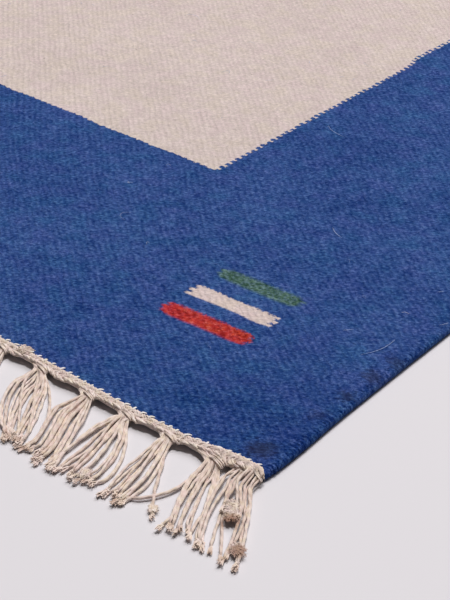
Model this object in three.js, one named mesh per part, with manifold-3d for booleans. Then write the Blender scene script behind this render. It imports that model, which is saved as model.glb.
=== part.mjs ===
// A flat-woven wool rug lying flat, in millimetres with +Z up. Its two ends face -Y and +Y.
// The cloth is one woven piece. At each end its warp yarns run on, are worked into a plaited
// heading and fall in tassels, so each end has one comb: the heading with its tassels as teeth.
// The rug is the same when it is turned half round about Z.
import * as THREE from "three";
import Module from "manifold-3d";

const clothWidth = 1200;
const clothLength = 1800;
const clothThickness = 5;
const selvedgeRound = 1.9; // how far the rounded edge of the cloth comes in
const gap = 0.3; // between the cloth and each comb

const cornerPull = 1; // how far the fringe draws the end of the cloth in at a corner
const cornerPullFrom = 62; // where that starts, from the side of the cloth
const cornerPullFull = 14;
const cornerRound = 6; // the ends of the cloth and of the heading stop this far from the side
const sideIn = 1.8; // each side lies this far in from the full width
const sidePull = 0.6; // how far it comes in again at a corner
const sidePullFrom = 14;
const sideBulge = 1.2; // the side swells out a little before that

const headingThickness = 5.6;
const headingRound = 1.3;
const tasselCount = 44;

// The six tassels by the corner at +X, -Y. "neck" is from the side of the cloth, inwards. "lean" is
// how far the tips lie towards the corner from the neck, "spread" is the width at the tips,
// "reach" is from the end of the cloth to the tips, and "leaf" is the part of the plaited heading
// that bellies out next to the neck: how much, and how far from the neck it is widest and ends.
const cornerTassels = [
  { neck: 9, lean: 20, spread: 22, reach: 51, leaf: { size: 0.4, peak: 4, last: 9 } },
  { neck: 25, lean: 17, spread: 20, reach: 54, leaf: { size: 0.8, peak: 5, last: 12 } },
  { neck: 52.3, lean: 8, spread: 13, reach: 55, leaf: { size: 1.15, peak: 4, last: 11.5 } },
  { neck: 78.3, lean: 9, spread: 24, reach: 54, leaf: { size: 1, peak: 6, last: 15 } },
  { neck: 102.5, lean: 13.5, spread: 21, reach: 55, leaf: { size: 0.4, peak: 5, last: 12 } },
  { neck: 134.4, lean: 27, spread: 15, reach: 55, leaf: { size: 1, peak: 10.5, last: 22 } },
];
// The others go on from there at an even pitch, with small differences that repeat.
const commonLeans = [15, 9, 18, 12, 21];
const commonSpreads = [19, 21, 17, 22, 18, 20, 16];
const commonReaches = [54, 52, 55, 53];
const commonLeaves = [0.9, 0.5, 1.1, 0.7];
const lastNeck = 1200 - 16;

// Each tassel from the heading to the tips: how far along it is, how much of the lean and of the
// spread it has by then, and how thick it is.
const tasselSections = [
  { along: 5, leant: 0, spread: 0, thick: 4.8 },
  { along: 16, leant: 0.14, spread: 0.28, thick: 4.4 },
  { along: 35, leant: 0.6, spread: 0.8, thick: 3.5 },
  { along: null, leant: 1, spread: 1, thick: 2.7 },
];
const neckWidth = 6.5;

const clothColour = 0x2b4a8e;
const yarnColour = 0xd9c9b4;

function smoothStep(from, to, value) {
  const t = Math.min(1, Math.max(0, (value - from) / (to - from)));
  return t * t * (3 - 2 * t);
}

// How far the end of the cloth lies from the middle of the rug, at x along it.
function endAt(x) {
  const fromSide = clothWidth / 2 - Math.abs(x);
  const pulled = cornerPull * smoothStep(cornerPullFrom, cornerPullFull, fromSide);
  const wave = 0.45 * Math.sin(x / 61) + 0.75 * Math.sin(x / 22 + 2.5);
  return clothLength / 2 - pulled + wave * smoothStep(0, 120, fromSide);
}

// How far the side of the cloth lies from the middle of the rug, at y along it.
function sideAt(y) {
  const fromEnd = clothLength / 2 - Math.abs(y);
  const pulled = sideIn + sidePull * smoothStep(sidePullFrom, 0, fromEnd);
  const swell = sideBulge * Math.exp(-(((fromEnd - 18) / 28) ** 2));
  const wave = 1.3 * Math.sin(y / 143) + 0.8 * Math.sin(y / 67 + 2);
  return clothWidth / 2 - pulled + swell + (wave + 0.8) * smoothStep(120, 300, fromEnd);
}

// Places from -reach to reach, closer together in a band at each end.
function placesAlong(reach, wide, close, band) {
  const inner = reach - band;
  const wideSteps = Math.ceil((2 * inner) / wide);
  const closeSteps = Math.ceil(band / close);
  const places = [];
  for (let i = 0; i < closeSteps; i += 1) {
    places.push(-reach + (band * i) / closeSteps);
  }
  for (let i = 0; i <= wideSteps; i += 1) {
    places.push(-inner + (2 * inner * i) / wideSteps);
  }
  for (let i = 1; i <= closeSteps; i += 1) {
    places.push(inner + (band * i) / closeSteps);
  }
  return places;
}

// The places that the end of the cloth and the inner edge of the heading share.
function placesAlongEnd() {
  return placesAlong(clothWidth / 2 - cornerRound, 52, 16, 80);
}

function turnedHalf(points) {
  return points.map((point) => new THREE.Vector2(-point.x, -point.y));
}

function extruded(points, thickness, round, segments) {
  const geometry = new THREE.ExtrudeGeometry(new THREE.Shape(points), {
    depth: thickness - 2 * round,
    bevelEnabled: true,
    bevelThickness: round,
    bevelSize: round,
    bevelOffset: -round,
    bevelSegments: segments,
    steps: 1,
  });
  geometry.translate(0, 0, round);
  return geometry;
}

function makeCloth() {
  const nearEnd = placesAlongEnd().map((x) => new THREE.Vector2(x, -endAt(x)));
  const sideReach = clothLength / 2 - cornerPull - 2;
  const rightSide = placesAlong(sideReach, 95, 20, 100).map(
    (y) => new THREE.Vector2(sideAt(y), y),
  );
  const half = [...nearEnd, ...rightSide];
  return extruded([...half, ...turnedHalf(half)], clothThickness, selvedgeRound, 2);
}

// Every tassel from +X to -X, with x for the place of its neck.
function allTassels() {
  const shown = cornerTassels.map((tassel) => ({ ...tassel }));
  const first = cornerTassels[cornerTassels.length - 1].neck;
  const others = tasselCount - shown.length;
  for (let i = 0; i < others; i += 1) {
    shown.push({
      neck: first + ((lastNeck - first) * (i + 1)) / others,
      lean: commonLeans[i % commonLeans.length],
      spread: commonSpreads[i % commonSpreads.length],
      reach: commonReaches[i % commonReaches.length],
      leaf: { size: commonLeaves[i % commonLeaves.length], peak: 6, last: 15 },
    });
  }
  return shown.map((tassel) => ({ ...tassel, x: clothWidth / 2 - tassel.neck }));
}

// The heading seen from above: its inner edge follows the end of the cloth, and its outer edge
// bellies out on the corner side of each neck.
function headingOutline(tassels) {
  const right = clothWidth / 2 - cornerRound;
  const outer = [];
  const add = (x, depth) => {
    if (Math.abs(x) < right - 1.5) {
      outer.push(new THREE.Vector2(x, -endAt(x) - depth));
    }
  };
  for (let i = tassels.length - 1; i >= 0; i -= 1) {
    const here = tassels[i].x;
    const room = (i > 0 ? tassels[i - 1].x : right + 4) - here;
    const { size, peak, last } = tassels[i].leaf;
    add(here - 3.4, 5);
    add(here + 3, 5);
    if (room > last) {
      add(here + peak, 4 + 2 * size);
      add(here + last, 3.9);
    }
  }
  const inner = placesAlongEnd().map((x) => new THREE.Vector2(x, -endAt(x) - gap));
  return [...outer, ...inner.reverse()];
}

// A closed tube of five-sided sections standing on the floor.
function tasselGeometry(tassel) {
  const end = endAt(tassel.x);
  const positions = [];
  for (const section of tasselSections) {
    const along = section.along ?? tassel.reach;
    const half = (neckWidth + (tassel.spread - neckWidth) * section.spread) / 2;
    const x = tassel.x + tassel.lean * section.leant;
    const y = -end - along;
    positions.push(x - half, y, 0, x + half, y, 0);
    positions.push(x + 0.8 * half, y, 0.8 * section.thick, x, y, section.thick);
    positions.push(x - 0.8 * half, y, 0.8 * section.thick);
  }
  const faces = [];
  const last = (tasselSections.length - 1) * 5;
  for (let ring = 0; ring < last; ring += 5) {
    for (let i = 0; i < 5; i += 1) {
      const next = (i + 1) % 5;
      faces.push(ring + i, ring + 5 + next, ring + 5 + i);
      faces.push(ring + i, ring + next, ring + 5 + next);
    }
  }
  for (let i = 1; i < 4; i += 1) {
    faces.push(0, i + 1, i);
    faces.push(last, last + i, last + i + 1);
  }
  const geometry = new THREE.BufferGeometry();
  geometry.setAttribute("position", new THREE.Float32BufferAttribute(positions, 3));
  geometry.setIndex(faces);
  return geometry;
}

const wasm = await Module();
wasm.setup();

function toSolid(geometry) {
  const source = geometry.index ? geometry.toNonIndexed() : geometry;
  const positions = source.getAttribute("position");
  const places = new Map();
  const vertices = [];
  const triangles = [];
  for (let i = 0; i < positions.count; i += 1) {
    const point = [positions.getX(i), positions.getY(i), positions.getZ(i)];
    const key = point.map((value) => Math.round(value * 1e4)).join(",");
    if (!places.has(key)) {
      places.set(key, vertices.length / 3);
      vertices.push(...point);
    }
    triangles.push(places.get(key));
  }
  const kept = [];
  for (let i = 0; i < triangles.length; i += 3) {
    const [a, b, c] = triangles.slice(i, i + 3);
    if (a !== b && b !== c && c !== a) {
      kept.push(a, b, c);
    }
  }
  return new wasm.Manifold(
    new wasm.Mesh({
      numProp: 3,
      vertProperties: new Float32Array(vertices),
      triVerts: new Uint32Array(kept),
    }),
  );
}

function toGeometry(solid) {
  const mesh = solid.getMesh();
  const geometry = new THREE.BufferGeometry();
  geometry.setAttribute("position", new THREE.BufferAttribute(mesh.vertProperties, 3));
  geometry.setIndex(new THREE.BufferAttribute(mesh.triVerts, 1));
  return geometry.toNonIndexed();
}

function makeFringe() {
  const tassels = allTassels();
  const heading = extruded(headingOutline(tassels), headingThickness, headingRound, 1);
  let comb = toSolid(heading);
  for (const tassel of tassels) {
    comb = comb.add(toSolid(tasselGeometry(tassel)));
  }
  return toGeometry(comb.asOriginal());
}

function addPiece(group, name, geometry, colour) {
  geometry.computeVertexNormals();
  const material = new THREE.MeshStandardMaterial({ color: colour, roughness: 0.95 });
  const mesh = new THREE.Mesh(geometry, material);
  mesh.name = name;
  group.add(mesh);
}

const rug = new THREE.Group();
const fringe = makeFringe();
addPiece(rug, "cloth", toGeometry(toSolid(makeCloth())), clothColour);
addPiece(rug, "fringe_near", fringe, yarnColour);
addPiece(rug, "fringe_far", fringe.clone().rotateZ(Math.PI), yarnColour);

export default rug;
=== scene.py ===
# Flat-woven wool rug: cloth, weft turns, plaited heading, tassels and loose wool, in metres.
import math

import bpy
import numpy as np
from mathutils import Matrix, Vector


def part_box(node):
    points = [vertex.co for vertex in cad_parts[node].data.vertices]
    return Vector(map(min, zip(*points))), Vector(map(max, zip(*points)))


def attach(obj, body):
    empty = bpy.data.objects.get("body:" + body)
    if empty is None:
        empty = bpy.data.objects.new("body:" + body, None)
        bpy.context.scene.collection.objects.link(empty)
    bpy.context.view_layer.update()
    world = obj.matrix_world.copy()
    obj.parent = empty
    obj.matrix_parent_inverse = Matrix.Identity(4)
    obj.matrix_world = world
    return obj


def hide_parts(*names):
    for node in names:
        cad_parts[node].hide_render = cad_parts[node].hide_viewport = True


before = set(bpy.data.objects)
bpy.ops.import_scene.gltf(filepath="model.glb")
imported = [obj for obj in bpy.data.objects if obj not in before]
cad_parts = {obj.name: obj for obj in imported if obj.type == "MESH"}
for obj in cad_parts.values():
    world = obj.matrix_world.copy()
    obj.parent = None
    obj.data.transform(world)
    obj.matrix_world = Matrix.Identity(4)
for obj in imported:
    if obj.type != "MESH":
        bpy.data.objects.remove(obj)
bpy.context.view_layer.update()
baseZ, topZ = (corner[2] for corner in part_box("cloth"))
mm = 0.001
halfWidth, halfLength = 600 * mm, 900 * mm  # of the cloth
fullTurn = 2 * math.pi


def mathsBy(operation):
    return lambda first, second: first.maths(operation, second)


class Value:  # one node output; maths on it adds Math nodes
    def __init__(self, shade, socket):
        self.shade = shade
        self.socket = socket

    def maths(self, operation, *others):
        return self.shade.add("ShaderNodeMath", {"operation": operation}, [self, *others])

    def ramp(self, start, end):  # smooth step from 0 at start to 1 at end
        sockets = {"Value": self, "From Min": start, "From Max": end}
        return self.shade.add("ShaderNodeMapRange", {"interpolation_type": "SMOOTHSTEP"}, sockets)

    def __abs__(self):
        return self.maths("ABSOLUTE")

    def __rsub__(self, other):
        return self.shade.add("ShaderNodeMath", {"operation": "SUBTRACT"}, [other, self])

    __sub__ = mathsBy("SUBTRACT")
    __add__ = __radd__ = mathsBy("ADD")
    __mul__ = __rmul__ = mathsBy("MULTIPLY")
    __truediv__ = mathsBy("DIVIDE")
    __mod__ = mathsBy("FLOORED_MODULO")
    __gt__ = mathsBy("GREATER_THAN")
    __lt__ = mathsBy("LESS_THAN")
    atMost = mathsBy("MINIMUM")
    atLeast = mathsBy("MAXIMUM")


class Shade:  # one material and its nodes
    def __init__(self, name):
        self.material = bpy.data.materials.new(name)
        self.material.use_nodes = True
        self.tree = self.material.node_tree
        self.tree.nodes.clear()

    def add(self, kind, settings=None, sockets=(), out=0):
        node = self.tree.nodes.new(kind)
        for name, value in (settings or {}).items():
            if name == "stops":
                self.setStops(node, value)
            else:
                setattr(node, name, value)
        pairs = sockets.items() if isinstance(sockets, dict) else enumerate(sockets)
        for name, value in pairs:
            if isinstance(value, Value):
                self.tree.links.new(value.socket, node.inputs[name])
            else:
                node.inputs[name].default_value = value
        return Value(self, node.outputs[out]) if len(node.outputs) else node

    def setStops(self, node, stops):
        elements = node.color_ramp.elements
        while len(elements) < len(stops):
            elements.new(1.0)
        for element, (place, colour) in zip(elements, stops):
            element.position = place
            element.color = (*colour, 1.0)

    def millimetres(self):  # the place on the rug
        place = self.add("ShaderNodeTexCoord", out="Object")
        return self.add("ShaderNodeVectorMath", {"operation": "SCALE"}, {0: place, "Scale": 1000})

    def moved(self, place, x, y):
        return self.add("ShaderNodeVectorMath", {"operation": "ADD"}, [place, (float(x), float(y), 0.0)])

    def distance(self, place, point):
        return self.add("ShaderNodeVectorMath", {"operation": "DISTANCE"}, [place, point], out="Value")

    def parts(self, vector):
        node = self.add("ShaderNodeSeparateXYZ", None, [vector]).socket.node
        return [Value(self, socket) for socket in node.outputs]

    def joined(self, x, y, z=0.0):
        return self.add("ShaderNodeCombineXYZ", None, [x, y, z])

    def noise(self, place, size, detail=2.0, rough=0.5, bend=0.0):
        return self.add(
            "ShaderNodeTexNoise",
            {"noise_dimensions": "3D"},
            {"Vector": place, "Scale": 1 / size, "Detail": detail, "Roughness": rough, "Distortion": bend},
        )

    def random(self, x, y):  # one number from 0 to 1 for each pair
        pair = self.joined(x, y)
        return self.add("ShaderNodeTexWhiteNoise", {"noise_dimensions": "3D"}, {"Vector": pair})

    def mix(self, factor, first, second, blend="MIX"):  # colours
        return self.add(
            "ShaderNodeMix",
            {"data_type": "RGBA", "blend_type": blend, "clamp_factor": True},
            {0: factor, 6: asColour(first), 7: asColour(second)},
            out=2,
        )

    def tinted(self, factor, colour, tint):
        return self.mix(factor, colour, self.mix(1.0, colour, tint, "MULTIPLY"))

    def uneven(self, colour, hue, drift):  # a dye that took unevenly, with one tint where hue is high
        high = hue.ramp(0.5, 0.5 + drift["reach"]) * drift["depth"]
        colour = self.tinted(high, colour, drift["high"])
        low = hue.ramp(0.5, 0.5 - drift["reach"]) * drift["depth"]
        return self.tinted(low, colour, drift["low"])

    def colours(self, factor, stops):
        return self.add("ShaderNodeValToRGB", {"stops": stops}, [factor])

    def finish(self, colour, bump, steep, roughness, fuzz=0.0):
        normal = self.add("ShaderNodeBump", None, {"Strength": 1.0, "Distance": steep, "Height": bump})
        looks = {"Base Color": colour, "Normal": normal, "Roughness": roughness, "Specular IOR Level": 0.04}
        looks |= {"Sheen Weight": fuzz, "Sheen Roughness": 0.55, "Sheen Tint": (1.0, 0.91, 0.85, 1.0)}
        self.show(self.add("ShaderNodeBsdfPrincipled", None, looks))
        return self.material

    def show(self, surface):
        self.add("ShaderNodeOutputMaterial", None, {"Surface": surface})


def asColour(value):
    return (*value, 1.0) if isinstance(value, tuple) and len(value) == 3 else value


def dyed(red, green, blue):  # a shade given as it looks, 0 to 255, to linear light
    def linear(value):
        value = value / 255
        return value / 12.92 if value <= 0.04045 else ((value + 0.055) / 1.055) ** 2.4

    return tuple(linear(value) for value in (red, green, blue))


def dyedStops(*stops):
    return [(place, dyed(*shade)) for place, shade in stops]


def shadesOf(red, green, blue, spread):  # one dye from its darkest to its palest
    return [
        (place, dyed(*(max(0, value + (place - 0.5) * 2 * spread) for value in (red, green, blue))))
        for place in (0.0, 0.25, 0.5, 0.75, 1.0)
    ]


def smoothStep(start, end, value):
    t = np.clip((value - start) / (end - start), 0, 1)
    return t * t * (3 - 2 * t)


def waves(place, terms, base=0):  # each term has a size, a length and a start
    return sum((size * np.sin(place / length + start) for size, length, start in terms), base)


cloth = {
    "cornerPull": 1 * mm,  # the fringe draws the end in at a corner
    "cornerPullFrom": 62 * mm,
    "cornerPullFull": 14 * mm,
    "endWaves": [(0.45, 61 * mm, 0), (0.75, 22 * mm, 2.5)],  # their sizes are in millimetres
    "sideIn": 1.8 * mm,  # each side lies this far in from the full width
    "sidePull": 0.6 * mm,  # and comes in again at a corner
    "sidePullFrom": 14 * mm,
    "sideBulge": 1.2 * mm,  # a swell before that
    "bulgeAt": 18 * mm,
    "bulgeWide": 28 * mm,
    "sideWaves": [(1.3, 143 * mm, 0), (0.8, 67 * mm, 2)],
    "edgeRound": 2.1 * mm,
    "sunk": 0.15 * mm,  # the top lies this far under the solid's
    "edgeDrop": 0.35 * mm,
    "rimAngles": [67, 45, 22, 0, -22, -45, -67],
    "unevenness": 0.22 * mm,
    "rises": {"count": 14, "shortest": 35 * mm, "longest": 190 * mm},
    "cell": 14 * mm,  # mesh spacing
    "edgeCells": [0, 1.2, 2.6, 4.5, 7, 11],  # and closer lines near the edge, in millimetres from it
}


def endAt(x):  # from the middle of the rug to the end of the cloth
    fromSide = halfWidth - np.abs(x)
    pulled = cloth["cornerPull"] * smoothStep(cloth["cornerPullFrom"], cloth["cornerPullFull"], fromSide)
    wave = waves(x, cloth["endWaves"]) * mm * smoothStep(0, 120 * mm, fromSide)
    return halfLength - pulled + wave


def sideAt(y):  # from the middle of the rug to its side
    fromEnd = halfLength - np.abs(y)
    pulled = cloth["sideIn"] + cloth["sidePull"] * smoothStep(cloth["sidePullFrom"], 0, fromEnd)
    swell = cloth["sideBulge"] * np.exp(-(((fromEnd - cloth["bulgeAt"]) / cloth["bulgeWide"]) ** 2))
    wave = (waves(y, cloth["sideWaves"]) + 0.8) * mm * smoothStep(120 * mm, 300 * mm, fromEnd)
    return halfWidth - pulled + swell + wave


def lieOfCloth(x, y):  # how the top rises and falls a little
    rng = np.random.default_rng(3)
    rise = np.zeros_like(x)
    for _ in range(cloth["rises"]["count"]):
        length = rng.uniform(cloth["rises"]["shortest"], cloth["rises"]["longest"])
        turn = rng.uniform(0, fullTurn)
        along = (x * math.cos(turn) + y * math.sin(turn)) * fullTurn / length
        rise += np.sin(along + rng.uniform(0, 6.28)) * (length / 0.11) ** 0.7  # longer ones rise more
    return cloth["unevenness"] * rise / 3.2


dyes = {
    "blue": shadesOf(48, 75, 132, 44),
    "ivory": shadesOf(209, 193, 188, 24),
    "red": dyedStops(
        (0.0, (98, 16, 20)), (0.25, (140, 32, 32)), (0.5, (176, 50, 46)),
        (0.75, (202, 72, 62)), (1.0, (224, 108, 92)),
    ),
    "green": shadesOf(72, 99, 88, 56),
    "drifts": {
        "blue": {"reach": 0.16, "depth": 0.9, "high": (1.17, 0.968, 1.03), "low": (0.82, 1.05, 0.98)},
        "ivory": {"reach": 0.12, "depth": 0.8, "high": (1.0, 0.972, 1.005), "low": (1.0, 1.008, 0.955)},
        "red": {"reach": 0.12, "depth": 0.8, "high": (0.94, 0.78, 1.25), "low": (1.06, 1.3, 0.72)},
    },
    "warmIvory": (1.03, 1.0, 1.0),
    "fleck": dyed(128, 104, 86),
    "soil": dyed(42, 43, 56),
}

weave = {
    "warpPitch": 2.68,  # all in millimetres
    "rowPitch": 2.6245,
    "endRowPitch": 2.2,  # rows are beaten closer together near the ends
    "endRows": 729.8,  # from here on, from the middle
    "wander": 1.7,  # how far rows and warps stray over a hand's width, in yarns
    "ragged": 1.1,  # and how uneven felting makes their edges
    "slant": 0.72,  # how far each stitch leans with the yarn's twist
    "crimp": 0.235,
    "hairs": [  # three layers of felted hairs
        {"shift": (91, 13), "size": 2.1, "bend": 1.5, "thin": 13},
        {"shift": (7, 151), "size": 2.9, "bend": 2.0, "thin": 17},
        {"shift": (43, 77), "size": 1.5, "bend": 0.9, "thin": 10},
    ],
    "tones": {"cloud": 1.45, "patch": 0.6, "worn": 0.25, "pitShade": 0.12, "hair": 0.36, "corner": 0.1},
    "turnTones": {"row": 0.34, "gap": 0.2},  # by the sides each turn of the weft shows by itself, with painted shade in the gaps between turns
    "bumps": {"stitch": 0.8, "cloud": 1.0, "fine": 0.3, "hair": 0.25},
    "fieldHalfWidth": 396.5,
    "fieldHalfLength": 683.5,
    "joinIn": {"far": 4.5, "from": 468, "to": 440, "backTo": 300},  # the join strays in by the near +X side
    "tooth": 1.25,  # each way, where two dyes meet along the warp
    "barMiddle": 500.5,
    "barRows": 2.5,  # each way from a bar's middle row
    "bars": {  # middle along the rug, half its length, how its ends round and blur, and the hairs over it
        "red": {"at": 819.8, "half": 27.6, "taper": 0.55, "soft": 1.7, "hairs": 0.1},
        "ivory": {"at": 798.2, "half": 26.6, "taper": 0.12, "soft": 0.9, "hairs": 0.1},
        "green": {"at": 773.5, "half": 26.9, "taper": 0.55, "soft": 2.3, "hairs": 0.32},
    },
    "barLean": 0.045,  # the rows sink a little towards the side there
    "flecks": {"apart": 9, "wide": 0.09, "depth": 0.75},
    "marks": [  # of use, by the near corner at +X: place, reach and depth
        (586.4, -885.0, 11, 0.6),
        (595.0, -785.0, 7, 0.42),
        (592.5, -803.0, 8.5, 0.5),
        (593.0, -824.0, 7, 0.45),
        (590.0, -846.0, 7, 0.3),
    ],
}
endPacking = 1 / weave["endRowPitch"] - 1 / weave["rowPitch"]  # how many more rows to a millimetre


def rowAt(y):  # how many rows there are from the middle to here
    return y / weave["rowPitch"] + max(0, y - weave["endRows"]) * endPacking


def stitchHeight(u, v, row):  # a weft row is a yarn that rises over one warp and dips under the next
    away = v - row
    over = ((u - row + away * weave["slant"]) * math.pi).maths("COSINE")
    body = (0.9 - away * away).atLeast(0.01).maths("SQRT")
    return body + over * weave["crimp"]


def feltedHairs(shade, place):
    hair = None
    for layer in weave["hairs"]:
        field = shade.noise(shade.moved(place, *layer["shift"]), layer["size"], 1, 0.5, layer["bend"])
        line = (1 - abs(field - 0.5) * layer["thin"]).atLeast(0.0)
        hair = hair.atLeast(line) if hair else line
    return hair * shade.noise(shade.moved(place, 29, 5), 2.4, 1).ramp(0.42, 0.6)


def flecked(shade, ivory, place, cloud):  # bits of darker wool spun into the ivory yarn
    flecks = weave["flecks"]
    cells = shade.add(
        "ShaderNodeTexVoronoi",
        {"feature": "F1"},
        {"Vector": place, "Scale": 1 / flecks["apart"], "Randomness": 1.0},
    )
    cellColour = Value(shade, cells.socket.node.outputs["Color"])
    cellTone = shade.add("ShaderNodeSeparateColor", None, [cellColour])
    fleck = (cells + (cloud - 0.5) * 0.06).ramp(flecks["wide"], 0.04) * cellTone.ramp(0.4, 1.0)
    return shade.mix(fleck * flecks["depth"], ivory, dyes["fleck"])


def weaveMaterial():
    shade = Shade("wovenWool")
    place = shade.millimetres()
    x, y, z = shade.parts(place)
    across, along = abs(x), abs(y)

    # yarn paths wander, and felting makes their edges uneven
    slow = shade.noise(place, 26, 2)
    slowOther = shade.noise(shade.moved(place, 311, 97), 30, 2)
    ragged = shade.noise(place, 1.7, 1)
    raggedOther = shade.noise(shade.moved(place, 57, 31), 1.5, 1)
    sink = ((across - 500) * weave["barLean"]).atMost(3.0).atLeast(-2.0)
    climb = sink * along.ramp(700, 760)
    packed = (along + climb - weave["endRows"]).atLeast(0.0) * endPacking
    rows = (along + climb) / weave["rowPitch"] + packed
    rows = rows + (slowOther - 0.5) * weave["wander"] + (raggedOther - 0.5) * weave["ragged"]
    v = rows * y.maths("SIGN")
    u = x / weave["warpPitch"] + (slow - 0.5) * weave["wander"] + (ragged - 0.5) * weave["ragged"]

    nearest = v.maths("ROUND")
    here, above, below = (stitchHeight(u, v, row) for row in (nearest, nearest + 1, nearest - 1))
    takesAbove = (above > here) * (above > below)
    takesBelow = (below > here) * (1 - takesAbove)
    row = nearest + takesAbove - takesBelow
    height = here.atLeast(above).atLeast(below)
    rowTone = shade.random(row, 4.0)
    parity = (row % 2) * 2 - 1

    # felted surface: clouds drawn out slantwise, crossing hairs, and painted shade in the pits between
    # stitches
    slanted = shade.joined((x * 0.743 + y * 0.669) / 1.5, (y * 0.743 - x * 0.669) / 0.73, z)
    cloud = shade.noise(slanted, 1.35, 3, 0.65)
    patch = shade.noise(place, 7, 3, 0.6)
    worn = shade.noise(shade.moved(place, 0, 43), 60, 2)
    hair = feltedHairs(shade, place)
    # painted shade: the tone darkens where the stitches dip low
    pitShade = height.ramp(0.72, 1.2)
    tones, turnTones = weave["tones"], weave["turnTones"]
    turned = across.ramp(589.5, 596.5)
    # painted shade in the gaps between weft turns by the sides
    gap = abs(v - nearest).ramp(0.26, 0.5)
    corner = shade.distance(shade.joined(across, along), (600.0, 900.0, 0.0)).ramp(150, 20)
    tone = 0.5 + (cloud - 0.5) * tones["cloud"] + (patch - 0.5) * tones["patch"]
    tone = tone + (worn - 0.5) * tones["worn"]
    tone = tone + (pitShade - 0.5) * tones["pitShade"] + (hair - 0.2) * tones["hair"] - corner * tones["corner"]
    tone = tone + turned * ((rowTone - 0.5) * turnTones["row"] - gap * turnTones["gap"])

    # where the field's dye lies
    edge = parity * weave["tooth"] + (rowTone - 0.5) * 1.3 + (cloud - 0.5) * 2.4
    fuzz = (raggedOther - 0.5) * 0.6 + (cloud - 0.5) * 0.5
    near, stray = y * -1, weave["joinIn"]
    joinIn = near.ramp(stray["from"], stray["to"]) * near.ramp(stray["backTo"], stray["to"]) * (x > 0)
    sideJoin = (edge + weave["fieldHalfWidth"] - joinIn * stray["far"] - across).ramp(-0.35, 0.35)
    field = sideJoin * (abs(row) + fuzz * 0.4 < rowAt(weave["fieldHalfLength"]))

    hue = shade.noise(shade.moved(place, 17, 71), 15, 3, 0.6)
    drifts = dyes["drifts"]
    blue = shade.uneven(shade.colours(tone, dyes["blue"]), hue, drifts["blue"])
    ivory = shade.uneven(shade.colours(tone, dyes["ivory"]), hue, drifts["ivory"])
    ivory = flecked(shade, ivory, place, cloud)
    barDyes = {
        "red": shade.uneven(shade.colours(tone, dyes["red"]), hue, drifts["red"]),
        "ivory": shade.tinted(1.0, ivory, dyes["warmIvory"]),
        "green": shade.colours(tone, dyes["green"]),
    }

    colour = shade.mix(field, blue, ivory)
    barEdge = parity * 0.8 + (rowTone - 0.5) * 1.6 + (cloud - 0.5) * 3.4
    for name, bar in weave["bars"].items():
        soft = bar["soft"]
        fromMiddle = abs(abs(v) - round(rowAt(bar["at"])))
        taper = fromMiddle * fromMiddle * bar["taper"]
        span = (barEdge + bar["half"] - taper - abs(across - weave["barMiddle"])).ramp(-soft, soft)
        inBar = span * (weave["barRows"] + fuzz - fromMiddle).ramp(-0.4 * soft, 0.4 * soft)
        covered = (hair * bar["hairs"]).atMost(1.0)
        colour = shade.mix(inBar * (1 - covered), colour, barDyes[name])

    for markX, markY, reach, depth in weave["marks"]:
        mark = shade.distance(place, (markX, markY, 5.0)) + (cloud - 0.5) * 12 + (patch - 0.5) * 10
        colour = shade.mix(mark.ramp(reach, 1) * depth, colour, dyes["soil"])

    fine = shade.noise(place, 0.6, 2, 0.6)
    bumps = weave["bumps"]
    bump = height * bumps["stitch"] + cloud * bumps["cloud"] + fine * bumps["fine"] + hair * bumps["hair"]
    return shade.finish(colour, bump, 0.8 * mm, roughness=0.98)


yarn = {
    "radius": 0.8 * mm,
    "turn": 6.0,  # millimetres of yarn to one turn of its twist
    "ivory": dyedStops(
        (0.0, (194, 167, 150)), (0.35, (217, 196, 184)), (0.62, (227, 209, 198)), (1.0, (240, 227, 220))
    ),
    # a paler copy of the ivory yarn, painted lighter to offset the shade among the plait's and the fine
    # yarns
    "litPlait": dyedStops(
        (0.0, (196, 171, 156)), (0.35, (218, 199, 188)), (0.62, (229, 212, 203)), (1.0, (241, 230, 224))
    ),
    "pale": dyedStops((0.0, (200, 188, 180)), (0.5, (236, 230, 228)), (1.0, (250, 248, 248))),
    "tones": {"strand": 0.4, "cloud": 0.95, "twist": 0.13},
    "drift": {"reach": 0.14, "depth": 0.8, "high": (1.0, 0.955, 1.0), "low": (1.0, 1.005, 0.9)},
    "dirtAndShade": dyed(170, 134, 110),  # a brown for soil by the corner, and for dust and painted shade at the cut ends
    "soiled": {"at": (592.0, -899.0, 5.0), "reach": 34, "depth": 0.2},  # by the near corner at +X
    "tip": dyed(233, 210, 195),
    "worn": 0.6,  # how far a cut end pales
    "dustAndShade": 0.6,
    "stainAndShade": dyed(146, 96, 64),
    "stainsAndShade": [  # brown stain with painted shade under the corner tufts: place, reach and depth
        (605.5, -931.0, 6.5, 0.8),
        (619.0, -943.0, 5.5, 0.7),
        (595.0, -917.0, 5.0, 0.3),
    ],
    "bumps": {"twist": 0.24, "cloud": 0.4},
}


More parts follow.
